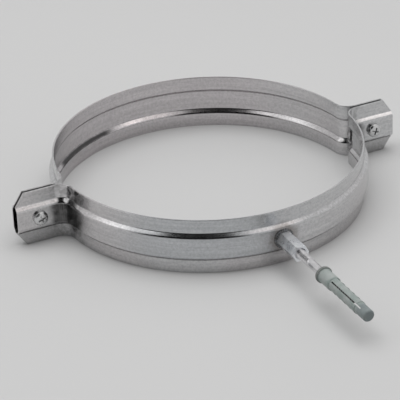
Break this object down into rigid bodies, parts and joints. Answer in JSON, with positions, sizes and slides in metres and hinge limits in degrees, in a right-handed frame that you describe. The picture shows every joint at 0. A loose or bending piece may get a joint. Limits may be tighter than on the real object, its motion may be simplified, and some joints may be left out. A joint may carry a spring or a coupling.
{
  "type": "flue pipe clamp",
  "caption": "Split ring clamp for a flue pipe, pressed from channelled steel strip, with screwed ears, a welded sleeve nut, a hanger bolt and a nylon wall plug.",
  "frame": {"origin": "centre of the clamped pipe at the middle of the band's height", "axes": "+Z along the pipe, +X through the right ear, -Y along the hanger bolt towards the wall"},
  "size_m": [0.272, 0.3121, 0.037],
  "materials": {
    "zinc_strip": "bright zinc coated rolled strip",
    "zinc_screw": "bright zinc plated",
    "zinc_nut": "bright zinc plated",
    "zinc_bolt": "bright zinc plated, rolled thread",
    "nylon": "grey-green moulded nylon"
  },
  "bodies": {
    "wall_half": {"wall_half_band": "zinc_strip", "sleeve_nut": "zinc_nut"},
    "outer_half": {"outer_half_band": "zinc_strip", "left_clamp_nut": "zinc_nut", "right_clamp_nut": "zinc_nut"},
    "left_screw": {"left_clamp_screw": "zinc_screw"},
    "right_screw": {"right_clamp_screw": "zinc_screw"},
    "bolt": {"hanger_bolt": "zinc_bolt"},
    "plug": {"wall_plug": "nylon"}
  },
  "joints": [
    {"name": "halves_open", "type": "slide", "parent": "wall_half", "child": "outer_half", "axis": [0, 1, 0], "range_m": [-0.0013, 0.008]},
    {"name": "left_screw_turn", "type": "hinge", "parent": "wall_half", "child": "left_screw", "pos_m": [-0.12097, 0, 0], "axis": [0, 1, 0], "range_deg": [-3610, 590]},
    {"name": "right_screw_turn", "type": "hinge", "parent": "wall_half", "child": "right_screw", "pos_m": [0.12097, 0, 0], "axis": [0, 1, 0], "range_deg": [-3610, 590]},
    {"name": "bolt_reach", "type": "slide", "parent": "wall_half", "child": "bolt", "axis": [0, -1, 0], "range_m": [-0.006, 0.008]},
    {"name": "plug_slip", "type": "slide", "parent": "bolt", "child": "plug", "axis": [0, -1, 0], "range_m": [0, 0.045]}
  ],
  "couplings": [
    {"joint": "left_screw_turn", "follows": "halves_open", "rad_per_m": -7854},
    {"joint": "right_screw_turn", "follows": "halves_open", "rad_per_m": -7854}
  ]
}
